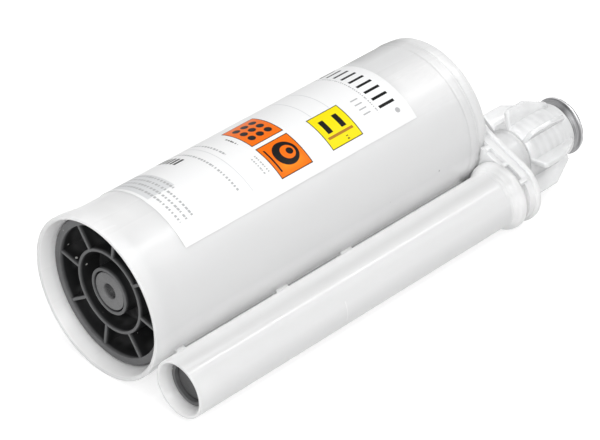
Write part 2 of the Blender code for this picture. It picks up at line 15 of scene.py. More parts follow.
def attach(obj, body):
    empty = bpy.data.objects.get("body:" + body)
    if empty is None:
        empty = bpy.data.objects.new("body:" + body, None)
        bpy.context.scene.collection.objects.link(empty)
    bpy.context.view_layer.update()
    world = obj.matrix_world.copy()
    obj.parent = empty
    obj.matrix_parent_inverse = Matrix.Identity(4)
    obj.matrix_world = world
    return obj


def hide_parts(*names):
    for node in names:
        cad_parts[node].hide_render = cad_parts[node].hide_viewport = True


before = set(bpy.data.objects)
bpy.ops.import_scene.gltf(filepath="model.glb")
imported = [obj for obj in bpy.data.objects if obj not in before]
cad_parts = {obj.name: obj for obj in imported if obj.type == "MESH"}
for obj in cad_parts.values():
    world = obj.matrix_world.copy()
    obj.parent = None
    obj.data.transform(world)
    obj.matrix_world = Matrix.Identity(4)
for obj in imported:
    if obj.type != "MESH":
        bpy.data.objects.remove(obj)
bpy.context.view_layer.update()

# The cartridge's place on the table
MM = 0.001
LEAN = math.asin(0.4)
SHIFT = Vector((-87.85, 9.68466, 26.5))
PLACE = (
    Matrix.Scale(MM, 4)
    @ Matrix.Translation(SHIFT)
    @ Matrix.Rotation(LEAN, 4, "X")
)

# Lines along X that the round pieces are turned about, as (y, z)
WIDE_LINE = (0.0, 0.0)
NARROW_LINE = (-37.5, 0.0)
OUTLET_LINE = (-27.6, 0.0)

# Wide barrel
WIDE_BORE = 24.0
WIDE_R = 25.6
WIDE_RIM = 26.5
WIDE_LENGTH = 140.3
WIDE_FRONT_WALL = (136.5, 138.5)

# Narrow barrel
NARROW_BORE = 7.6
NARROW_R = 9.35
NARROW_LENGTH = 136.3
COLLAR_R = 11.5

# Outlet: the plate's rear and front, the boss, the neck, and the nut round it
PLATE = (138.8, 143.0)
BOSS_FRONT = 150.95
NECK_FRONT = 166.0
NUT_BACK = 151.2
NUT_FRONT = 172.0
NUT_BORE = 7.9
PITCH = 3.0

# The two ways out, each as its place across and its radius, and the wide one's slant up to them
WIDE_WAY, WIDE_WAY_R = -23.6, 2.0
NARROW_WAY, NARROW_WAY_R = -31.4, 1.1
SLANT = (134.5, -21.0, 0), (PLATE[1], WIDE_WAY, 0)
PRONG_GAP = 0.3

# Middles and half lengths of the webs between the barrels, and of the runs between them where
# the seam is painted with a dark line of shade
WEBS = (11.5, 1.7), (52.35, 2.35), (79.35, 2.35)
SEAMS = (7.2, 2.4), (31.55, 18.15), (65.85, 10.9), (108.35, 26.4)

# Label: its rear and front edges, its radius, its thickness and how far it reaches each way
LABEL_ENDS = (19.5, 115.0)
LABEL_R = 25.75
FILM = 0.12
LABEL_REACH = 115
PER_DEGREE = math.radians(1) * LABEL_R

# How finely corners and round pieces are made, and how near two points are when they merge
ROUND_STEPS = 3
SMALL_STEPS = 96
NUT_STEPS = 120
MERGE = 1e-4
FULL_TURN = 2 * math.pi


# Shapes

def turned(outline, line=WIDE_LINE, steps=144):
    """A solid spun from (x, radius, rounding) corners. It closes on itself unless it starts
    and ends on the line."""
    bm = bmesh.new()
    corners = [bm.verts.new((x, radius, 0)) for x, radius, _ in outline]
    following = corners[1:] if outline[0][1] == 0 else corners[1:] + corners[:1]
    for one, other in zip(corners, following):
        bm.edges.new((one, other))
    for size in sorted({rounding for _, _, rounding in outline if rounding}):
        chosen = [c for c, (_, _, rounding) in zip(corners, outline) if rounding == size]
        bmesh.ops.bevel(
            bm, geom=chosen, affect="VERTICES", offset=size, offset_type="OFFSET",
            segments=ROUND_STEPS, profile=0.5, material=-1,
        )
    bmesh.ops.spin(
        bm, geom=bm.verts[:] + bm.edges[:], cent=(0, 0, 0), axis=(1, 0, 0), angle=FULL_TURN,
        steps=steps, use_merge=True,
    )
    bmesh.ops.remove_doubles(bm, verts=bm.verts, dist=MERGE)
    bmesh.ops.recalc_face_normals(bm, faces=bm.faces)
    bmesh.ops.translate(bm, vec=(0, *line), verts=bm.verts)
    return bm


def helix(section, turns, line, steps=48):
    """A thread ridge: its (x, radius) section spun forward by one pitch a turn, right-handed."""
    bm = bmesh.new()
    corners = [bm.verts.new((x, radius, 0)) for x, radius in section]
    for one, other in zip(corners, corners[1:] + corners[:1]):
        bm.edges.new((one, other))
    bmesh.ops.spin(
        bm, geom=bm.verts[:] + bm.edges[:], cent=(0, 0, 0), axis=(1, 0, 0),
        dvec=(PITCH / steps, 0, 0), angle=FULL_TURN * turns, steps=round(turns * steps),
    )
    bmesh.ops.holes_fill(bm, edges=bm.edges, sides=len(section))
    bmesh.ops.recalc_face_normals(bm, faces=bm.faces)
    bmesh.ops.translate(bm, vec=(0, *line), verts=bm.verts)
    return bm


def soften(bm, width, segments=2, angle=30):
    """Rounds every edge sharper than the angle."""
    sharp = [e for e in bm.edges if e.is_manifold and e.calc_face_angle() > math.radians(angle)]
    bmesh.ops.bevel(
        bm, geom=sharp, affect="EDGES", offset=width, offset_type="OFFSET", segments=segments,
        profile=0.5, material=-1, clamp_overlap=True,
    )
    return bm


def slab(outline, back, front, rounding=0.0):
    """A flat piece from (y, z) points, as thick as back to front along X."""
    bm = bmesh.new()
    face = bm.faces.new([bm.verts.new((back, y, z)) for y, z in outline])
    grown = bmesh.ops.extrude_face_region(bm, geom=[face])
    moved = [v for v in grown["geom"] if isinstance(v, bmesh.types.BMVert)]
    bmesh.ops.translate(bm, vec=(front - back, 0, 0), verts=moved)
    bmesh.ops.recalc_face_normals(bm, faces=bm.faces)
    return soften(bm, rounding, 3, 50) if rounding else bm


def stadium(half_width, far, near, steps=32):
    """(y, z) points of a long outline with round ends centred at y = near and y = far."""
    points = []
    for centre, start in ((near, -math.pi / 2), (far, math.pi / 2)):
        for i in range(steps + 1):
            angle = start + math.pi * i / steps
            points.append((centre + half_width * math.cos(angle), half_width * math.sin(angle)))
    return points


def block(low, high, rounding=0.0):
    """A box between two corners."""
    bm = bmesh.new()
    bmesh.ops.create_cube(bm, size=1)
    bmesh.ops.scale(bm, vec=[b - a for a, b in zip(low, high)], verts=bm.verts)
    bmesh.ops.translate(bm, vec=[(a + b) / 2 for a, b in zip(low, high)], verts=bm.verts)
    return soften(bm, rounding) if rounding else bm


def rod(start, end, radius):
    """A round bar from one point to another."""
    start = Vector(start)
    run = Vector(end) - start
    bm = bmesh.new()
    bmesh.ops.create_cone(
        bm, cap_ends=True, segments=32, radius1=radius, radius2=radius, depth=run.length
    )
    turn = run.to_track_quat("Z", "Y").to_matrix().to_4x4()
    bmesh.ops.transform(bm, matrix=Matrix.Translation(start + run / 2) @ turn, verts=bm.verts)
    return bm


def blade(outline, thickness, draft, rounding):
    """One fin in the plane z = 0 from (x, radius) points, thinner by the draft at its rear."""
    bm = bmesh.new()
    face = bm.faces.new([bm.verts.new((x, radius, -thickness / 2)) for x, radius in outline])
    grown = bmesh.ops.extrude_face_region(bm, geom=[face])
    moved = [v for v in grown["geom"] if isinstance(v, bmesh.types.BMVert)]
    bmesh.ops.translate(bm, vec=(0, 0, thickness), verts=moved)
    low = min(x for x, _ in outline)
    span = max(x for x, _ in outline) - low
    for v in bm.verts:
        v.co.z *= 1 + draft * (v.co.x - low) / span
    bmesh.ops.recalc_face_normals(bm, faces=bm.faces)
    return soften(bm, rounding, 2, 25)


def fan(one, count, phase, line):
    """Copies of a fin all round a line along X. The single fin is used up."""
    mesh = bpy.data.meshes.new("fin")
    one.to_mesh(mesh)
    one.free()
    bm = bmesh.new()
    for k in range(count):
        first = len(bm.verts)
        bm.from_mesh(mesh)
        bm.verts.ensure_lookup_table()
        turn = Matrix.Rotation(math.radians(phase) + FULL_TURN * k / count, 3, "X")
        bmesh.ops.rotate(bm, verts=bm.verts[first:], cent=(0, 0, 0), matrix=turn)
    bpy.data.meshes.remove(mesh)
    bmesh.ops.translate(bm, vec=(0, *line), verts=bm.verts)
    return bm


def shaped(base, operation, others):
    """The base with other solids joined to it or cut out of it. All of them are used up."""
    made = []
    for bm in (base, *others):
        mesh = bpy.data.meshes.new("work")
        bm.to_mesh(mesh)
        bm.free()
        made.append(bpy.data.objects.new("work", mesh))
        bpy.context.scene.collection.objects.link(made[-1])
    for other in made[1:]:
        change = made[0].modifiers.new("shape", "BOOLEAN")
        change.operation = operation
        change.solver = "EXACT"
        change.object = other
    graph = bpy.context.evaluated_depsgraph_get()
    mesh = bpy.data.meshes.new_from_object(made[0].evaluated_get(graph))
    result = bmesh.new()
    result.from_mesh(mesh)
    bpy.data.meshes.remove(mesh)
    for obj in made:
        work = obj.data
        bpy.data.objects.remove(obj)
        bpy.data.meshes.remove(work)
    bmesh.ops.remove_doubles(result, verts=result.verts, dist=MERGE)
    return result


def finished(name, bm, body, node, look, smooth=35):
    """The bmesh as a piece in its place, riding on its body and standing for its CAD node."""
    bmesh.ops.transform(bm, matrix=PLACE, verts=bm.verts)
    mesh = bpy.data.meshes.new(name)
    bm.to_mesh(mesh)
    bm.free()
    mesh.materials.append(look)
    mesh.shade_smooth()
    mesh.set_sharp_from_angle(angle=math.radians(smooth))
    obj = bpy.data.objects.new(name, mesh)
    bpy.context.scene.collection.objects.link(obj)
    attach(obj, body)
    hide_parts(node)
    return obj


# Nodes

def feed(tree, socket, value):
    """Links an output to a socket, or sets the socket to a plain value."""
    if isinstance(value, bpy.types.NodeSocket):
        tree.links.new(value, socket)
    else:
        socket.default_value = value


def add(tree, kind, sockets=None, **settings):
    """A shader node with its settings. Each socket is given a value or linked to an output."""
    made = tree.nodes.new("ShaderNode" + kind)
    for key, value in settings.items():
        setattr(made, key, value)
    for key, value in (sockets or {}).items():
        feed(tree, made.inputs[key], value)
    return made


def calc(tree, operation, one, other=0.0, clamp=False):
    """The output of a Math node."""
    return add(tree, "Math", {0: one, 1: other}, operation=operation, use_clamp=clamp).outputs[0]


def ramp(tree, value, low, high, start=0.0, end=1.0):
    """A value taken smoothly from one range to another."""
    sockets = {"Value": value, "From Min": low, "From Max": high, "To Min": start, "To Max": end}
    return add(tree, "MapRange", sockets, interpolation_type="SMOOTHSTEP").outputs["Result"]


def blended(tree, mask, base, colour):
    """A colour laid over another by a mask."""
    made = add(tree, "Mix", data_type="RGBA")
    for index, value in ((0, mask), (6, base), (7, colour)):
        feed(tree, made.inputs[index], (*value, 1.0) if isinstance(value, tuple) else value)
    return made.outputs[2]


def noise(tree, place, scale, detail=2.0):
    """Noise of about so many features a millimetre."""
    sockets = {"Vector": place, "Scale": scale, "Detail": detail}
    return add(tree, "TexNoise", sockets).outputs["Fac"]


def new_group(name, inputs, outputs):
    """An empty node group with named sockets, as (tree, input node, output node)."""
    tree = bpy.data.node_groups.new(name, "ShaderNodeTree")
    for label, kind, value in inputs:
        socket = tree.interface.new_socket(label, in_out="INPUT", socket_type="NodeSocket" + kind)
        if value is not None:
            socket.default_value = value
    for label, kind in outputs:
        tree.interface.new_socket(label, in_out="OUTPUT", socket_type="NodeSocket" + kind)
    return tree, tree.nodes.new("NodeGroupInput"), tree.nodes.new("NodeGroupOutput")


def use(tree, group, sockets):
    """The outputs of a node group placed in a material."""
    return add(tree, "Group", sockets, node_tree=group).outputs


def make_round_place():
    """Where a point lies on a round piece: along its line, round it in degrees, and out from it."""
    tree, given, result = new_group(
        "round_place",
        [("Place", "Vector", None), ("Line", "Float", 0.0)],
        [("Along", "Float"), ("Turn", "Float"), ("Radius", "Float")],
    )
    split = add(tree, "SeparateXYZ", {0: given.outputs["Place"]})
    across = calc(tree, "SUBTRACT", split.outputs["Y"], given.outputs["Line"])
    up = split.outputs["Z"]
    turn = calc(tree, "DEGREES", calc(tree, "ARCTAN2", up, across))
    squares = calc(tree, "ADD", calc(tree, "POWER", across, 2.0), calc(tree, "POWER", up, 2.0))
    tree.links.new(split.outputs["X"], result.inputs["Along"])
    tree.links.new(turn, result.inputs["Turn"])
    tree.links.new(calc(tree, "SQRT", squares), result.inputs["Radius"])
    return tree


def make_moulded_grain():
    """The skin of a moulded part: fine grain, soft ripples and flow marks drawn out along X."""
    tree, given, result = new_group(
        "moulded_grain",
        [("Place", "Vector", None), ("Grain", "Float", 0.3), ("Ripple", "Float", 6.0)],
        [("Height", "Float"), ("Shade", "Float"), ("Gloss", "Float")],
    )
    place = given.outputs["Place"]
    drawn = add(tree, "Mapping", {"Vector": place, "Scale": (0.02, 1.0, 1.0)}).outputs[0]
    fine = noise(tree, place, calc(tree, "DIVIDE", 1.0, given.outputs["Grain"]))
    soft = noise(tree, drawn, calc(tree, "DIVIDE", 1.0, given.outputs["Ripple"]))
    broad = noise(tree, place, 0.035, 4.0)
    height = calc(tree, "ADD", calc(tree, "MULTIPLY", fine, 0.8), calc(tree, "MULTIPLY", soft, 0.2))
    shade = calc(tree, "ADD", calc(tree, "MULTIPLY", soft, 0.4), calc(tree, "MULTIPLY", broad, 0.6))
    tree.links.new(height, result.inputs["Height"])
    tree.links.new(ramp(tree, shade, 0.3, 0.7), result.inputs["Shade"])
    tree.links.new(ramp(tree, soft, 0.3, 0.7), result.inputs["Gloss"])
    return tree


def make_handling_marks():
    """Dust specks and hairline scratches."""
    tree, given, result = new_group(
        "handling_marks",
        [
            ("Place", "Vector", None), ("Spacing", "Float", 2.5), ("Share", "Float", 0.3),
            ("Size", "Float", 0.07),
        ],
        [("Dust", "Float"), ("Scratch", "Float")],
    )
    place = given.outputs["Place"]
    cells = add(
        tree, "TexVoronoi",
        {"Vector": place, "Scale": calc(tree, "DIVIDE", 1.0, given.outputs["Spacing"])},
    )
    chance = add(tree, "SeparateColor", {0: cells.outputs["Color"]}).outputs
    size = calc(tree, "MULTIPLY", chance["Green"], given.outputs["Size"])
    near = ramp(tree, calc(tree, "SUBTRACT", cells.outputs["Distance"], size), 0.0, 0.03, 1.0, 0.0)
    kept = calc(tree, "LESS_THAN", chance["Red"], given.outputs["Share"])
    tree.links.new(calc(tree, "MULTIPLY", near, kept), result.inputs["Dust"])
    spun = add(
        tree, "Mapping", {"Vector": place, "Rotation": (0.5, 0.3, 0.7), "Scale": (0.04, 0.9, 0.9)}
    ).outputs[0]
    off = calc(tree, "ABSOLUTE", calc(tree, "SUBTRACT", noise(tree, spun, 1.6, 1.0), 0.5))
    patchy = noise(tree, place, 0.06)
    scratch = calc(
        tree, "MULTIPLY", ramp(tree, off, 0.0, 0.002, 1.0, 0.0), ramp(tree, patchy, 0.52, 0.66)
    )
    tree.links.new(scratch, result.inputs["Scratch"])
    return tree


def make_band():
    """One inside a range of a value, nought outside it, with soft edges."""
    tree, given, result = new_group(
        "band",
        [
            ("Value", "Float", 0.0), ("Middle", "Float", 0.0), ("Half", "Float", 1.0),
            ("Soft", "Float", 0.05),
        ],
        [("Mask", "Float")],
    )
    off = calc(tree, "SUBTRACT", given.outputs["Value"], given.outputs["Middle"])
    inside = calc(tree, "SUBTRACT", given.outputs["Half"], calc(tree, "ABSOLUTE", off))
    edge = calc(tree, "DIVIDE", inside, given.outputs["Soft"])
    tree.links.new(calc(tree, "ADD", edge, 0.5, clamp=True), result.inputs["Mask"])
    return tree


def make_rows():
    """Rows of short bars round the barrel. Each bar fills its own share of its place."""
    tree, given, result = new_group(
        "rows",
        [
            ("Along", "Float", 0.0), ("Turn", "Float", 0.0), ("Pitch", "Float", 1.5),
            ("Stroke", "Float", 0.6), ("Bar", "Float", 2.5),
        ],
        [("Mask", "Float")],
    )
    steps = calc(tree, "DIVIDE", given.outputs["Along"], given.outputs["Pitch"])
    row = calc(tree, "FLOOR", steps)
    inside = calc(tree, "ABSOLUTE", calc(tree, "SUBTRACT", calc(tree, "FRACT", steps), 0.5))
    share = calc(tree, "DIVIDE", given.outputs["Stroke"], given.outputs["Pitch"])
    line = calc(tree, "LESS_THAN", inside, calc(tree, "MULTIPLY", share, 0.5))
    slid = calc(tree, "ADD", given.outputs["Turn"], calc(tree, "MULTIPLY", row, 3.7))
    bars = calc(tree, "DIVIDE", slid, given.outputs["Bar"])
    seat = add(tree, "CombineXYZ", {"X": calc(tree, "FLOOR", bars), "Y": row}).outputs[0]
    draw = add(tree, "TexWhiteNoise", {"Vector": seat}, noise_dimensions="3D").outputs["Value"]
    length = calc(tree, "ADD", calc(tree, "MULTIPLY", draw, 0.45), 0.4)
    bar = calc(tree, "LESS_THAN", calc(tree, "FRACT", bars), length)
    tree.links.new(calc(tree, "MULTIPLY", line, bar), result.inputs["Mask"])
    return tree


ROUND_PLACE = make_round_place()
MOULDED_GRAIN = make_moulded_grain()
HANDLING_MARKS = make_handling_marks()
BAND = make_band()
ROWS = make_rows()


def band(tree, value, middle, half, soft):
    """One where a value is within half of its middle, nought elsewhere, with soft edges."""
    sockets = {"Value": value, "Middle": middle, "Half": half, "Soft": soft}
    return use(tree, BAND, sockets)["Mask"]


# Materials

CHARCOAL = (0.158, 0.159, 0.162)
BLACK_RUBBER = (0.03, 0.03, 0.031)
CLOUDY = (0.97, 0.975, 0.98)
BRIGHT = (0.82, 0.82, 0.83)
FILM_WHITE = (0.955, 0.958, 0.961)
# Painted light: the paler white painted on the barrels' insides
INSIDE_LIGHT_WHITE = (0.96, 0.96, 0.96)


def new_look(name, **constants):
    """A material, its shader with plain values, and the object's own place in millimetres."""
    look = bpy.data.materials.new(name)
    look.use_nodes = True
    tree = look.node_tree
    shader = tree.nodes["Principled BSDF"]
    for key, value in constants.items():
        shader.inputs[key.replace("_", " ").title().replace("Ior", "IOR")].default_value = value
    coordinates = add(tree, "TexCoord")
    back = Matrix.Rotation(-LEAN, 3, "X")
    place = add(
        tree, "Mapping",
        {
            "Vector": coordinates.outputs["Object"],
            "Scale": (1 / MM,) * 3,
            "Rotation": (-LEAN, 0, 0),
            "Location": -(back @ SHIFT),
        },
    ).outputs[0]
    return look, tree, shader, place


def skin(tree, shader, place, colour, roughness, grain, bump, spread, height=None):
    """A moulded surface with roughness that varies. Its base colour drifts darker by the spread,
    and is returned with the grain's outputs."""
    look = use(tree, MOULDED_GRAIN, {"Place": place, "Grain": grain, "Ripple": grain * 14})
    darker = tuple(c * (1 - spread) for c in colour)
    base = blended(tree, look["Shade"], darker, colour)
    rough = ramp(tree, look["Gloss"], 0.0, 1.0, roughness * 0.9, roughness * 1.1)
    tree.links.new(rough, shader.inputs["Roughness"])
    raised = look["Height"] if height is None else calc(tree, "ADD", look["Height"], height)
    normal = add(tree, "Bump", {"Height": raised, "Strength": bump, "Distance": 0.0002})
    tree.links.new(normal.outputs["Normal"], shader.inputs["Normal"])
    return base, look


def natural_plastic(name, line, length, white, gloss, blur, radii=None, painted_light_and_marks=()):
    """White moulded plastic that lets a little light in and is greyer at its ends. A barrel gives
    the radii of its inside, which is without gloss and painted paler as painted light coming
    through the wall, and of its outside. Each patch given is painted light, painted shade or a
    real mark, as a grey, a strength, its middle, half width and softness both along the line and
    round it, and the share of gloss that it lacks."""
    look, tree, shader, place = new_look(
        name, specular_ior_level=0.25, subsurface_weight=0.6, subsurface_scale=0.004,
        coat_weight=gloss, coat_roughness=blur, coat_ior=2.0,
    )
    shader.inputs["Subsurface Radius"].default_value = (1.0, 1.0, 1.0)
    pale = (white, white + 0.003, white + 0.006)
    base, _ = skin(tree, shader, place, pale, roughness=0.3, grain=0.9, bump=0.015, spread=0.012)
    where = use(tree, ROUND_PLACE, {"Place": place, "Line": line})
    marks = use(tree, HANDLING_MARKS, {"Place": place, "Spacing": 4.0, "Share": 0.08})
    rear, front = (band(tree, where["Along"], end, 1.2, 2.0) for end in (0.0, length))
    ends = calc(tree, "ADD", rear, front)
    worn = blended(tree, calc(tree, "MULTIPLY", ends, 0.12), base, (0.62, 0.62, 0.6))
    dusty = blended(tree, calc(tree, "MULTIPLY", marks["Dust"], 0.35), worn, (0.5, 0.5, 0.48))
    scuffs_and_painted_light = blended(tree, calc(tree, "MULTIPLY", marks["Scratch"], 0.02), dusty, (0.8, 0.8, 0.8))
    outer = 1.0
    if radii:
        outer = ramp(tree, where["Radius"], *radii)
        sheen = ramp(tree, outer, 0.0, 1.0, gloss * 0.2, gloss)
        # The inside is painted paler: painted light standing in for light that comes through the
        # wall
        inside_painted_light = ramp(tree, outer, 0.0, 1.0, 0.85, 0.0)
        scuffs_and_painted_light = blended(tree, inside_painted_light, scuffs_and_painted_light, INSIDE_LIGHT_WHITE)
    facing = add(tree, "Math", {0: where["Turn"], 1: 360.0, 2: 0.0}, operation="WRAP").outputs[0]
    # Each patch is painted light or painted shade laid on the base colour, or a real mark
    for tone, strength, *spans, lost in painted_light_and_marks:
        mask = outer
        for value, span in zip((where["Along"], facing), spans):
            mask = calc(tree, "MULTIPLY", mask, band(tree, value, *span))
        scuffs_and_painted_light = blended(tree, calc(tree, "MULTIPLY", mask, strength), scuffs_and_painted_light, (tone,) * 3)
        if lost:
            sheen = calc(tree, "MULTIPLY", sheen, ramp(tree, mask, 0.0, 1.0, 1.0, 1.0 - lost))
    if radii:
        tree.links.new(sheen, shader.inputs["Coat Weight"])
    tree.links.new(scuffs_and_painted_light, shader.inputs["Base Color"])
    return look


def charcoal_plastic():
    """Charcoal moulded plastic with a fine grain, pale dust and lighter scratches. Its pockets are
    painted near black further in as painted shade, with noisy patches of painted light on their
    deep faces."""
    look, tree, shader, place = new_look("charcoal_plastic", specular_ior_level=0.2)
    face, _ = skin(
        tree, shader, place, CHARCOAL, roughness=0.5, grain=0.22, bump=0.3, spread=0.25
    )
    depth = add(tree, "SeparateXYZ", {0: place}).outputs["X"]
    # Painted shade: faces deeper in the pockets are painted near black
    dark = blended(tree, ramp(tree, depth, 5.0, 6.4), face, (0.012, 0.012, 0.0125))
    # Painted light: noisy patches on the deep faces are painted less dark
    deep_light_noise = ramp(tree, noise(tree, place, 0.11), 0.42, 0.62)
    deep_painted_light = calc(tree, "MULTIPLY", deep_light_noise, ramp(tree, depth, 6.4, 10.0))
    base = blended(tree, deep_painted_light, dark, (0.055, 0.055, 0.056))
    marks = use(tree, HANDLING_MARKS, {"Place": place, "Spacing": 3.2, "Share": 0.45, "Size": 0.13})
    scratch = calc(tree, "MULTIPLY", marks["Scratch"], 0.25)
    rubbed = blended(tree, scratch, base, (0.16, 0.16, 0.165))
    dusty = blended(tree, marks["Dust"], rubbed, (0.62, 0.62, 0.6))
    tree.links.new(dusty, shader.inputs["Base Color"])
    return look


def grey_plastic(name, tone):
    """Grey plastic with a speckled, slightly rough face, painted darker further in as painted
    shade.
    """
    look, tree, shader, place = new_look(name, specular_ior_level=0.25)
    grey = (tone, tone, tone + 0.002)
    base, _ = skin(tree, shader, place, grey, roughness=0.45, grain=0.18, bump=0.4, spread=0.25)
    specks = noise(tree, place, 5.5)
    depth = add(tree, "SeparateXYZ", {0: place}).outputs["X"]
    # Painted shade: faces further in are painted darker
    shaded = blended(tree, ramp(tree, depth, 5.6, 6.8), base, (0.05, 0.05, 0.051))
    speckled = blended(tree, ramp(tree, specks, 0.55, 0.75), shaded, (tone * 1.4,) * 3)
    marks = use(tree, HANDLING_MARKS, {"Place": place, "Spacing": 1.9, "Share": 0.35, "Size": 0.14})
    dusty = blended(tree, marks["Dust"], speckled, (0.7, 0.7, 0.68))
    tree.links.new(dusty, shader.inputs["Base Color"])
    return look


def seal_rubber():
    """Black sealing rubber with a bloom."""
    look, tree, shader, place = new_look("seal_rubber")
    base, grain = skin(
        tree, shader, place, BLACK_RUBBER, roughness=0.65, grain=0.25, bump=0.35, spread=0.3
    )
    bloom = calc(tree, "MULTIPLY", grain["Shade"], 0.12)
    tree.links.new(blended(tree, bloom, base, (0.2, 0.2, 0.2)), shader.inputs["Base Color"])
    return look


def cloudy_plastic():
    """Clear plastic gone cloudy, with the shade of the thread inside it painted faintly on its wall
    as grey stripes.
    """
    look, tree, shader, place = new_look("cloudy_plastic", coat_weight=1.0, coat_roughness=0.08)
    base, _ = skin(tree, shader, place, CLOUDY, roughness=0.2, grain=0.4, bump=0.06, spread=0.02)
    where = use(tree, ROUND_PLACE, {"Place": place, "Line": OUTLET_LINE[0]})
    forward = calc(tree, "DIVIDE", where["Along"], PITCH)
    turns = calc(tree, "ADD", forward, calc(tree, "DIVIDE", where["Turn"], -360.0))
    thread = calc(tree, "ABSOLUTE", calc(tree, "SUBTRACT", calc(tree, "FRACT", turns), 0.5))
    wall = ramp(tree, where["Radius"], 10.2, 10.5, 1.0, 0.0)
    reach = calc(tree, "MULTIPLY", band(tree, where["Along"], 159.0, 6.5, 2.0), wall)
    # Painted shade: grey stripes where the thread inside would darken the wall
    thread_shade = calc(tree, "MULTIPLY", ramp(tree, thread, 0.1, 0.4), reach)
    base = blended(tree, calc(tree, "MULTIPLY", thread_shade, 0.22), base, (0.66, 0.665, 0.67))
    tree.links.new(base, shader.inputs["Base Color"])
    cloudy = ramp(tree, noise(tree, place, 0.2), 0.3, 0.7, 0.7, 0.78)
    back = ramp(tree, where["Along"], NUT_BACK, NUT_BACK + 1.5, 0.22, 0.0)
    tree.links.new(calc(tree, "ADD", cloudy, back), shader.inputs["Alpha"])
    return look


def bright_metal():
    """Pressed metal with turning lines round it, painted dark in its groove as painted shade, most
    on its upper side, and rougher there, with broken dark dashes on its rim.
    """
    look, tree, shader, place = new_look("bright_metal", metallic=1.0)
    where = use(tree, ROUND_PLACE, {"Place": place, "Line": OUTLET_LINE[0]})
    lathe = add(tree, "CombineXYZ", {
        "X": calc(tree, "MULTIPLY", where["Along"], 6.0),
        "Y": calc(tree, "MULTIPLY", where["Radius"], 6.0),
        "Z": calc(tree, "MULTIPLY", where["Turn"], 0.02),
    }).outputs[0]
    lines = noise(tree, lathe, 1.0, 3.0)
    base, _ = skin(
        tree, shader, place, BRIGHT, roughness=0.28, grain=0.3, bump=0.15, spread=0.15,
        height=lines,
    )
    brushed = blended(tree, ramp(tree, lines, 0.35, 0.6), (0.4, 0.4, 0.41), base)
    # Painted shade: the groove beside the nut is painted dark, darkest on its upper side
    upper_shade = ramp(tree, band(tree, where["Turn"], 88.0, 12.0, 50.0), 0.0, 1.0, 0.56, 0.95)
    groove = calc(tree, "MULTIPLY", ramp(tree, where["Along"], 174.5, 174.8, 1.0, 0.0), upper_shade)
    brushed = blended(tree, groove, brushed, (0.06, 0.06, 0.062))
    tree.links.new(ramp(tree, groove, 0.0, 1.0, 0.3, 0.55), shader.inputs["Roughness"])
    rim_dashes = ramp(tree, noise(tree, place, 0.35), 0.42, 0.5)
    edge = calc(tree, "MULTIPLY", ramp(tree, where["Along"], 175.1, 175.2), rim_dashes)
    edge = calc(tree, "MULTIPLY", edge, ramp(tree, where["Radius"], 9.6, 9.7))
    brushed = blended(tree, edge, brushed, (0.02, 0.02, 0.021))
    marks = use(tree, HANDLING_MARKS, {"Place": place, "Spacing": 1.6, "Share": 0.2})
    dull = blended(tree, calc(tree, "MULTIPLY", marks["Dust"], 0.6), brushed, (0.16, 0.15, 0.14))
    tree.links.new(dull, shader.inputs["Base Color"])
    return look


# The label's inks and how soft their edges are. Along is in millimetres from the rear rims, turn
# in degrees round the barrel.
INK = (0.004, 0.004, 0.004)
GREY_INK = (0.48, 0.48, 0.49)
PALE_INK = (0.74, 0.75, 0.76)
ORANGE = (0.95, 0.175, 0.004)
AMBER = (0.97, 0.3, 0.006)
YELLOW = (0.95, 0.79, 0.006)
INK_EDGE = 0.08
BAR_EDGE = 0.05


def patch(tree, along, turn, low, high, softness):
    """The mask of a rectangle between two (along, turn) corners, as soft each way as given."""
    sides = [
        band(tree, value, (a + b) / 2, (b - a) / 2, soft)
        for value, a, b, soft in zip((along, turn), low, high, softness)
    ]
    return calc(tree, "MULTIPLY", *sides)


def printed(tree, along, turn, base, colour, low, high, soft):
    """A rectangle of ink between two (along, turn) corners."""
    mask = patch(tree, along, turn, low, high, (soft, soft / PER_DEGREE))
    return blended(tree, mask, base, colour)


def ruled(tree, along, turn, base, colour, low, high, pitch, stroke, bar):
    """Rows of short bars between two (along, turn) corners."""
    rows = use(tree, ROWS, {
        "Along": calc(tree, "SUBTRACT", along, low[0]), "Turn": turn, "Pitch": pitch,
        "Stroke": stroke, "Bar": bar,
    })["Mask"]
    zone = patch(tree, along, turn, low, high, (BAR_EDGE, BAR_EDGE))
    return blended(tree, calc(tree, "MULTIPLY", zone, rows), base, colour)


def dot(tree, along, turn, base, colour, centre, radius):
    """A round spot of ink."""
    off_along = calc(tree, "SUBTRACT", along, centre[0])
    off_turn = calc(tree, "MULTIPLY", calc(tree, "SUBTRACT", turn, centre[1]), PER_DEGREE)
    squares = [calc(tree, "POWER", off, 2.0) for off in (off_along, off_turn)]
    away = calc(tree, "SQRT", calc(tree, "ADD", *squares))
    mask = ramp(tree, away, radius - INK_EDGE, radius + INK_EDGE, 1.0, 0.0)
    return blended(tree, mask, base, colour)


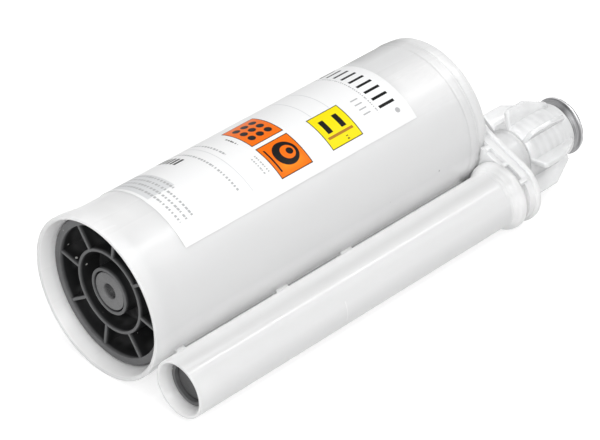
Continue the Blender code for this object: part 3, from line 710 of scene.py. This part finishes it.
def label_film():
    """White printed film: colour patches, rows of bars and plain motifs."""
    look, tree, shader, place = new_look("label_film", specular_ior_level=0.1)
    base, _ = skin(
        tree, shader, place, FILM_WHITE, roughness=0.33, grain=0.9, bump=0.03, spread=0.01
    )
    where = use(tree, ROUND_PLACE, {"Place": place, "Line": 0.0})
    along, turn = where["Along"], where["Turn"]

    def ink(colour, low, high, soft=INK_EDGE):
        return printed(tree, along, turn, base, colour, low, high, soft)

    def bars(colour, low, high, pitch, stroke, bar):
        return ruled(tree, along, turn, base, colour, low, high, pitch, stroke, bar)

    def spot(colour, centre, radius):
        return dot(tree, along, turn, base, colour, centre, radius)

    # Pale block and rows of bars near the rear edge
    base = ink(PALE_INK, (20.6, -60), (31.0, 72), 0.3)
    base = bars(GREY_INK, (21.6, 20), (31.2, 74), 2.35, 0.9, 2.9)
    base = bars(GREY_INK, (21.6, 74), (28.6, 99), 2.35, 0.8, 2.9)
    for start in range(30, 51, 4):
        base = ink(INK, (38.8, start), (42.8, start + 2.4), 0.1)
    base = bars(GREY_INK, (44.6, 20), (46.2, 99), 1.6, 0.8, 2.7)
    base = ink(PALE_INK, (49.3, 0), (49.6, 104))
    base = bars(GREY_INK, (51.1, 20), (53.0, 70), 1.9, 0.8, 2.9)
    base = bars((0.1, 0.1, 0.1), (57.5, 55), (58.9, 67), 1.4, 0.7, 2.3)
    base = bars(GREY_INK, (55.8, 83), (59.0, 98), 1.6, 0.6, 2.1)
    # Two orange patches and a yellow one, each with a thin dark border
    for colour, low, high in (
        (ORANGE, (60.4, 44.6), (73.3, 75.6)),
        (ORANGE, (60.3, 78.8), (73.1, 106.9)),
        (YELLOW, (81.5, 78.2), (94.3, 107.0)),
    ):
        base = ink(INK, low, high)
        base = ink(colour, (low[0] + 0.3, low[1] + 0.66), (high[0] - 0.3, high[1] - 0.66))
    # What is on the patches: a grid of dots, a ring, and plain stripes
    base = ink(AMBER, (62.5, 97.0), (71.0, 103.0), 3.4)
    for a in (63.6, 66.9, 70.2):
        for t in (52.5, 60.2, 67.9):
            base = spot(INK, (a, t), 1.25)
    base = spot(INK, (67.4, 92.0), 4.3)
    base = spot(ORANGE, (68.2, 92.0), 2.5)
    base = spot(INK, (68.9, 92.0), 1.2)
    base = ink(INK, (61.6, 83.0), (62.2, 102.5))
    base = ink(INK, (83.9, 84.0), (85.9, 95.5))
    base = ink(INK, (89.5, 84.0), (91.5, 95.5))
    base = ink((0.45, 0.2, 0.02), (82.7, 97.6), (92.9, 99.6))
    base = bars((0.25, 0.18, 0.01), (83.0, 101.8), (93.0, 105.2), 12.0, 0.8, 2.0)
    # Thin rules, and stripes near the front edge
    base = ink(PALE_INK, (84.0, 0), (84.3, 77.5))
    base = ink(PALE_INK, (91.5, 0), (91.8, 77.5))
    base = bars(GREY_INK, (103.5, 20), (104.5, 99), 1.0, 0.5, 1.9)
    for k in range(11):
        start = 20 + 7.5 * k
        base = ink(INK, (105.3, start), (111.6, start + 2.3), 0.1)
    base = spot(GREY_INK, (110.3, 104.0), 0.9)
    for start in (81.5, 86.0, 90.5, 95.0):
        base = ink(GREY_INK, (98.8, start), (101.8, start + 1.1))
    tree.links.new(base, shader.inputs["Base Color"])
    return look


# Pieces

def make_barrels(look_wide, look_narrow):
    """Both barrels, the webs on the wide one, and the ways through their end walls."""
    outline = [
        (WIDE_FRONT_WALL[0], 0, 0),
        (WIDE_FRONT_WALL[0], WIDE_BORE, 0.6),
        (3.6, WIDE_BORE, 0.8),
        (0.25, 25.15, 0.3),
        (0, 25.75, 0.2),
        (0, WIDE_RIM, 0.35),
        (3.8, WIDE_RIM, 1.6),
        (8.6, WIDE_R, 3.0),
        (132.2, WIDE_R, 0.3),
        (132.7, WIDE_R - 0.12, 0.3),
        (133.2, WIDE_R, 0.4),
        (135.0, WIDE_R, 0.3),
        (135.5, WIDE_R + 0.12, 0.3),
        (136.0, WIDE_R + 0.12, 0.15),
        (136.4, WIDE_R - 0.3, 0.2),
        (136.9, WIDE_R, 0.4),
        (138.9, WIDE_R - 0.1, 0.3),
        (139.1, WIDE_R - 0.22, 0.1),
        (WIDE_LENGTH, WIDE_R - 0.25, 0.5),
        (WIDE_LENGTH, 23.7, 0.3),
        (WIDE_FRONT_WALL[1], 23.7, 0.5),
        (WIDE_FRONT_WALL[1], 0, 0),
    ]
    wide = turned(outline, WIDE_LINE, 160)
    slope = [(-24.8, -1.9), (-25.5, -2.1), (-28.6, -2.5), (-28.6, -3.6), (-24.8, -3.6)]
    webs = [slab(slope, x - half, x + half, 0.3) for x, half in WEBS]
    wide = shaped(wide, "UNION", webs)
    notch = slab(stadium(11.8, NARROW_LINE[0], 0), WIDE_FRONT_WALL[1], WIDE_LENGTH + 2)
    wide = shaped(wide, "DIFFERENCE", [notch, rod(*SLANT, WIDE_WAY_R)])
    finished("wide_barrel_shell", wide, "cartridge", "wide_barrel", look_wide)

    outline = [
        (NARROW_LENGTH - 2, 0, 0),
        (NARROW_LENGTH - 2, NARROW_BORE, 0.6),
        (2.4, NARROW_BORE, 0.6),
        (0.2, 8.35, 0.2),
        (0, 8.7, 0.15),
        (0, NARROW_R, 0.25),
        (131.0, NARROW_R, 0.3),
        (131.4, NARROW_R + 0.35, 0.2),
        (132.1, NARROW_R + 0.35, 0.2),
        (132.5, NARROW_R + 0.8, 0.2),
        (133.4, NARROW_R + 1.1, 0.4),
        (134.3, COLLAR_R - 0.2, 0.5),
        (NARROW_LENGTH, COLLAR_R, 0.5),
        (NARROW_LENGTH, 0, 0),
    ]
    narrow = turned(outline, NARROW_LINE, SMALL_STEPS)
    way = rod(
        (NARROW_LENGTH - 4, NARROW_WAY, 0), (NARROW_LENGTH + 4, NARROW_WAY, 0), NARROW_WAY_R
    )
    narrow = shaped(narrow, "DIFFERENCE", [way])
    finished(
        "narrow_barrel_shell", narrow, "cartridge", "narrow_barrel", look_narrow
    )


def make_head(look):
    """The round-ended plate and its recessed core, the boss and the threaded neck."""
    core_back = NARROW_LENGTH + 0.3
    plate = slab(stadium(10.5, NARROW_LINE[0], 0, 48), PLATE[0] - 0.2, PLATE[1] - 1.2)
    lip = slab(stadium(11.5, NARROW_LINE[0], 0, 48), PLATE[1] - 1.8, PLATE[1], rounding=0.5)
    core = slab(stadium(9.2, NARROW_LINE[0], -24.0), core_back, PLATE[0] + 1)
    tabs = [
        block((core_back, -y - 0.8, -10.4), (PLATE[0] + 1, -y + 0.8, 10.4), 0.2)
        for y in (25.9, 33.7, 41.5)
    ]
    room = turned(
        [(core_back - 2, 0, 0), (core_back - 2, 25.9, 0), (PLATE[0], 25.9, 0), (PLATE[0], 0, 0)]
    )
    core = shaped(shaped(core, "UNION", tabs), "DIFFERENCE", [room])
    boss = turned(
        [
            (PLATE[0] + 1, 0, 0),
            (PLATE[0] + 1, 9.8, 0),
            (PLATE[1], 9.8, 0.3),
            (PLATE[1] + 1.6, 8.2, 0.9),
            (BOSS_FRONT - 1.2, 8.2, 0.3),
            (BOSS_FRONT - 0.6, 8.8, 0.2),
            (BOSS_FRONT, 8.8, 0.1),
            (BOSS_FRONT, 6.9, 0.2),
            (NECK_FRONT, 6.9, 0.6),
            (NECK_FRONT, 0, 0),
        ],
        OUTLET_LINE, SMALL_STEPS,
    )
    ridge = helix([(151.6, 6.7), (152.1, 7.6), (153.0, 7.6), (153.5, 6.7)], 4.1, OUTLET_LINE)
    ways = [
        rod(*SLANT, WIDE_WAY_R),
        rod((PLATE[1] - 1, WIDE_WAY, 0), (NECK_FRONT + 2, WIDE_WAY, 0), WIDE_WAY_R),
        rod((NARROW_LENGTH - 4, NARROW_WAY, 0), (NECK_FRONT + 2, NARROW_WAY, 0), NARROW_WAY_R),
    ]
    head = shaped(plate, "UNION", [lip, core, boss, ridge])
    head = shaped(head, "DIFFERENCE", ways)
    finished("outlet_head_moulding", head, "cartridge", "outlet_head", look)


def make_label(look):
    """The film, spun from its rear-to-front edge round the barrel and given its thickness."""
    bm = bmesh.new()
    half = math.radians(LABEL_REACH)
    radius = LABEL_R - FILM
    edge = (radius * math.cos(half), -radius * math.sin(half))
    bm.edges.new([bm.verts.new((x, *edge)) for x in LABEL_ENDS])
    bmesh.ops.subdivide_edges(bm, edges=bm.edges[:], cuts=7)
    bmesh.ops.spin(
        bm, geom=bm.verts[:] + bm.edges[:], cent=(0, 0, 0), axis=(1, 0, 0), angle=2 * half,
        steps=120,
    )
    bmesh.ops.recalc_face_normals(bm, faces=bm.faces)
    if bm.faces[0].normal.dot(bm.faces[0].calc_center_median() * Vector((0, 1, 1))) < 0:
        bmesh.ops.reverse_faces(bm, faces=bm.faces)
    bmesh.ops.solidify(bm, geom=bm.faces[:], thickness=-FILM)
    bmesh.ops.recalc_face_normals(bm, faces=bm.faces)
    finished("label_sheet", bm, "cartridge", "label", look, 60)


def seal(outer, inner, front, width):
    """A lipped ring's outline."""
    return [
        (front - width, inner, 0.1),
        (front, inner, 0.1),
        (front, outer - width / 5, 0.15),
        (front - width / 4, outer, 0.2),
        (front - width / 2, outer, 0.2),
        (front - width, outer - width / 5, 0.15),
    ]


def make_wide_piston(charcoal, grey, rubber):
    """The ribbed piston, the lipped ring in its groove and the plug in its hub."""
    back, front, outer, inner, floor = 4.8, 16.8, 23.7, 21.3, 12.8
    outline = [
        (back, inner, 0.25),
        (back, outer, 0.35),
        (13.4, outer, 0.15),
        (13.4, 21.8, 0.15),
        (15.7, 21.8, 0.15),
        (15.7, outer, 0.15),
        (front, outer, 0.5),
        (front, 3.3, 0.2),
        (10.8, 3.3, 0.1),
        (10.8, 6.6, 0.1),
        (5.2, 6.6, 0.15),
        (5.2, 7.6, 0.2),
        (floor, 7.9, 0.5),
        (floor, 12.6, 0.5),
        (5.2, 12.8, 0.22),
        (5.2, 13.75, 0.22),
        (floor, 13.95, 0.5),
        (floor, 21.1, 0.5),
    ]
    piston = turned(outline)
    rib = blade([(5.2, 13.2), (13.2, 13.2), (13.2, 21.9), (5.2, 21.9)], 1.0, 0.45, 0.2)
    piston = shaped(piston, "UNION", [fan(rib, 8, 33.9, WIDE_LINE)])
    finished(
        "wide_piston_moulding", piston, "wide_piston", "wide_piston", charcoal
    )
    ring = turned(seal(23.85, 22.1, 15.4, 1.7))
    finished("wide_seal_ring", ring, "wide_piston", "wide_piston_seal", rubber)
    pin = turned([
        (7.9, 0, 0),
        (7.9, 1.5, 0.3),
        (6.9, 2.35, 0.4),
        (5.5, 2.55, 0.15),
        (5.5, 6.1, 0.15),
        (10.5, 6.1, 0.2),
        (10.5, 3.0, 0.2),
        (front, 3.0, 0.3),
        (front, 0, 0),
    ], WIDE_LINE, SMALL_STEPS)
    finished("wide_vent_plug", pin, "wide_piston", "wide_vent_pin", grey)


def make_narrow_piston(charcoal, grey, rubber):
    """The cup-shaped piston, its lipped ring and the plug set in it."""
    back, front, outer, inner, floor = 4.0, 15.2, 7.3, 6.0, 9.0
    piston = turned([
        (back, inner, 0.2),
        (back, outer, 0.3),
        (12.0, outer, 0.1),
        (12.0, 6.0, 0.1),
        (14.1, 6.0, 0.1),
        (14.1, outer, 0.1),
        (front, outer, 0.4),
        (front, 1.8, 0.2),
        (floor, 1.8, 0.1),
        (floor, inner, 0.3),
    ], NARROW_LINE, SMALL_STEPS)
    finished(
        "narrow_piston_moulding", piston, "narrow_piston", "narrow_piston",
        charcoal,
    )
    ring = turned(seal(7.45, 6.3, 13.8, 1.5), NARROW_LINE, SMALL_STEPS)
    finished("narrow_seal_ring", ring, "narrow_piston", "narrow_piston_seal", rubber)
    plug = turned([
        (5.3, 0, 0),
        (5.3, 5.7, 0.3),
        (8.5, 5.7, 0.2),
        (8.5, 1.5, 0.2),
        (front, 1.5, 0.2),
        (front, 0, 0),
    ], NARROW_LINE, SMALL_STEPS)
    finished("narrow_vent_plug", plug, "narrow_piston", "narrow_vent_disc", grey)


def make_nut(look):
    """The nut with its eight wings and the thread in its bore."""
    body_r, collar_r = 10.2, 9.3
    body_front = NUT_BACK + 16.0
    nut = turned([
        (NUT_BACK, NUT_BORE, 0.4),
        (169.9, NUT_BORE, 0.2),
        (169.9, 5.9, 0.2),
        (NUT_FRONT, 5.9, 0.3),
        (NUT_FRONT, collar_r, 0.45),
        (body_front + 1.4, collar_r, 0.5),
        (body_front, body_r - 0.4, 0.3),
        (body_front - 2.3, body_r, 0.5),
        (NUT_BACK + 1.2, body_r, 0.5),
        (NUT_BACK, body_r - 1.1, 0.3),
    ], OUTLET_LINE, NUT_STEPS)
    ridge = helix([(153.1, 8.1), (153.6, 7.1), (154.5, 7.1), (155.0, 8.1)], 4.2, OUTLET_LINE)
    wing = blade(
        [
            (NUT_BACK, 8.7), (NUT_BACK, 14.7), (NUT_BACK + 0.8, 15.5), (NUT_BACK + 8.6, 15.5),
            (NUT_BACK + 10.2, 14.7), (NUT_BACK + 18.2, 11.0), (NUT_BACK + 19.0, 8.7),
        ],
        1.6, 0.0, 0.3,
    )
    nut = shaped(nut, "UNION", [fan(wing, 8, 13.5, OUTLET_LINE), ridge])
    finished("winged_nut", nut, "nut", "retaining_nut", look)


def make_closure(natural, rubber, metal):
    """The plug with a prong for each way out, the gasket behind its flange, and the disc."""
    plug = turned([
        (167.6, 0, 0),
        (167.6, 7.6, 0.3),
        (169.6, 7.6, 0.3),
        (169.6, 5.6, 0.2),
        (172.6, 5.6, 0.4),
        (172.6, 3.5, 0.2),
        (174.2, 3.5, 0.3),
        (174.2, 0, 0),
    ], OUTLET_LINE, SMALL_STEPS)
    prongs = [
        turned([(158.6, 0, 0), (158.6, r, r * 0.6), (168.6, r, 0), (168.6, 0, 0)], (y, 0.0), 32)
        for y, r in ((WIDE_WAY, WIDE_WAY_R - PRONG_GAP), (NARROW_WAY, NARROW_WAY_R - PRONG_GAP))
    ]
    plug = shaped(plug, "UNION", prongs)
    finished("outlet_plug", plug, "closure", "closure_plug", natural)
    gasket = turned([
        (166.3, 6.1, 0.2),
        (166.3, 7.6, 0.2),
        (167.3, 7.6, 0.2),
        (167.3, 6.1, 0.2),
    ], OUTLET_LINE, SMALL_STEPS)
    finished("flange_gasket", gasket, "closure", "plug_gasket", rubber)
    disc = turned([
        (174.5, 0, 0),
        (174.5, 3.8, 0),
        (173.0, 3.8, 0.2),
        (173.0, 6.4, 0.1),
        (172.2, 6.4, 0.1),
        (172.2, 8.9, 0.2),
        (173.5, 9.55, 0.3),
        (173.9, 9.55, 0.1),
        (174.1, 9.35, 0.1),
        (174.4, 9.35, 0.1),
        (174.6, 9.9, 0.2),
        (175.7, 9.9, 0.55),
        (175.7, 7.7, 0.4),
        (175.1, 7.1, 0.4),
        (175.1, 0, 0),
    ], OUTLET_LINE, NUT_STEPS)
    finished("pressed_disc", disc, "closure", "closure_disc", metal)


charcoal, rubber = charcoal_plastic(), seal_rubber()
# Painted light beside the narrow barrel, standing in for light bounced into the crevice, and a
# painted dark line of shade in the seam between the webs; painted light on the top near the
# rear; painted shade on top of the nose, whose coat is taken off there; one real speck; and a
# painted highlight beside the label's front edge
white_wide = natural_plastic(
    "natural_white_wide", WIDE_LINE[0], WIDE_LENGTH, white=0.78, gloss=0.5, blur=0.28,
    radii=(25.16, 25.3),
    painted_light_and_marks=[
        (0.99, 0.9, (70, 70, 6), (178, 10, 14), 0),
        *((0.06, 0.9, (x, half, 1), (194.3, 5.6, 1), 0) for x, half in SEAMS),
        (0.95, 0.85, (6, 10, 8), (62, 22, 24), 0),
        (0.22, 0.85, (130, 14, 8), (30, 14, 24), 1.0),
        (0.12, 0.7, (118, 0.3, 0.3), (159, 0.5, 1.2), 0),
        (0.96, 0.75, (128, 12, 6), (88, 10, 14), 0),
    ],
)
# Painted shade on the top, darker in a band across it; painted light on the side that faces
# the wide barrel, standing in for light bounced off it; a real pale scratch runs part of the way
# round it; and painted light on the collar's lower side
white_narrow = natural_plastic(
    "natural_white_narrow", NARROW_LINE[0], NARROW_LENGTH, white=0.86, gloss=0.34, blur=0.07,
    radii=(8.4, 9.2),
    painted_light_and_marks=[
        (0.55, 0.5, (68, 80, 1), (92, 28, 36), 0),
        (0.45, 0.27, (68, 80, 1), (75, 9, 16), 0),
        (1.0, 0.65, (68, 66, 4), (18, 30, 12), 0),
        (1.0, 0.9, (58.8, 0.12, 0.3), (153, 21, 1.2), 0),
        (1.0, 0.9, (134, 2.5, 1), (162, 28, 20), 0),
    ],
)
# Painted light on the plate's edge on its -Y side
white_head = natural_plastic(
    "natural_white_head", OUTLET_LINE[0], NECK_FRONT, white=0.78, gloss=0.15, blur=0.2,
    painted_light_and_marks=[(0.98, 0.95, (141, 3, 2), (190, 36, 16), 0)],
)
make_barrels(white_wide, white_narrow)
make_head(white_head)
make_label(label_film())
make_wide_piston(charcoal, grey_plastic("grey_plastic_pin", 0.2), rubber)
make_narrow_piston(charcoal, grey_plastic("grey_plastic_disc", 0.11), rubber)
make_nut(cloudy_plastic())
make_closure(white_head, rubber, bright_metal())


# Table, light and camera

def backdrop_rays(tree):
    """One for rays that show the background: straight, mirrored or passed through."""
    path = add(tree, "LightPath")
    seen = calc(tree, "MAXIMUM", path.outputs["Is Camera Ray"], path.outputs["Is Glossy Ray"])
    return calc(tree, "MAXIMUM", seen, path.outputs["Is Transmission Ray"])


def make_table():
    """A white table that keeps the cartridge's shadow, and white all round."""
    bm = bmesh.new()
    bmesh.ops.create_grid(bm, x_segments=1, y_segments=1, size=3.0)
    mesh = bpy.data.meshes.new("table")
    bm.to_mesh(mesh)
    bm.free()
    table = bpy.data.objects.new("table", mesh)
    bpy.context.scene.collection.objects.link(table)
    look = bpy.data.materials.new("table_white")
    look.use_nodes = True
    tree = look.node_tree
    shader = tree.nodes["Principled BSDF"]
    shader.inputs["Base Color"].default_value = (0.55, 0.55, 0.55, 1.0)
    shader.inputs["Roughness"].default_value = 0.9
    shader.inputs["Specular IOR Level"].default_value = 0.0
    shader.inputs["Emission Color"].default_value = (1.0, 1.0, 1.0, 1.0)
    glow = calc(tree, "MULTIPLY", backdrop_rays(tree), 0.68)
    tree.links.new(glow, shader.inputs["Emission Strength"])
    mesh.materials.append(look)

    world = bpy.data.worlds.new("white_room")
    world.use_nodes = True
    tree = world.node_tree
    background = tree.nodes["Background"]
    background.inputs["Color"].default_value = (1.0, 1.0, 1.0, 1.0)
    strength = ramp(tree, backdrop_rays(tree), 0.0, 1.0, 0.32, 1.0)
    tree.links.new(strength, background.inputs["Strength"])
    bpy.context.scene.world = world


def make_lamp(name, place, aim, size, power):
    """A rectangular lamp that points at a place."""
    lamp = bpy.data.lights.new(name, "AREA")
    lamp.shape = "RECTANGLE"
    lamp.size, lamp.size_y = size
    lamp.energy = power
    obj = bpy.data.objects.new(name, lamp)
    obj.location = place
    obj.rotation_euler = (Vector(aim) - Vector(place)).to_track_quat("-Z", "Y").to_euler()
    bpy.context.scene.collection.objects.link(obj)


def make_camera():
    """The camera at the photograph's place, turned by its own right, down and forward axes."""
    camera = bpy.data.cameras.new("camera")
    camera.sensor_width = 36.0
    camera.lens = 151.3
    camera.clip_start = 0.05
    camera.clip_end = 20.0
    obj = bpy.data.objects.new("camera", camera)
    right = Vector((0.7143, -0.69862, -0.04151))
    down = Vector((-0.4122, -0.37196, -0.83172))
    forward = Vector((0.5656, 0.61118, -0.55365))
    turn = Matrix((right, -down, -forward)).transposed().to_4x4()
    obj.matrix_world = Matrix.Translation((-0.44775, -0.46786, 0.44606)) @ turn
    bpy.context.scene.collection.objects.link(obj)
    bpy.context.scene.camera = obj


make_table()
make_lamp("key", (0.66, -0.45, 0.9), (0, 0, 0.02), (0.9, 0.9), 2.85)
make_lamp("overhead", (-0.1, 0.12, 1.2), (0, 0, 0.02), (0.8, 0.8), 3.0)
make_lamp("fill", (-0.35, -1.0, 0.95), (0, 0, 0.02), (0.6, 0.6), 4.8)
make_lamp("rear", (-0.8, -0.3, 0.32), (-0.08, 0, 0.03), (0.6, 0.6), 3.4)
make_lamp("side_softbox", (0.7, -1.1, 0.32), (0.7, 0, 0.02), (1.2, 0.4), 0.2)
make_lamp("strip", (0.665, -0.313, 0.955), (0.665, 0, 0.02), (1.0, 0.03), 1.4)
make_camera()
bpy.context.scene.view_settings.view_transform = "Standard"
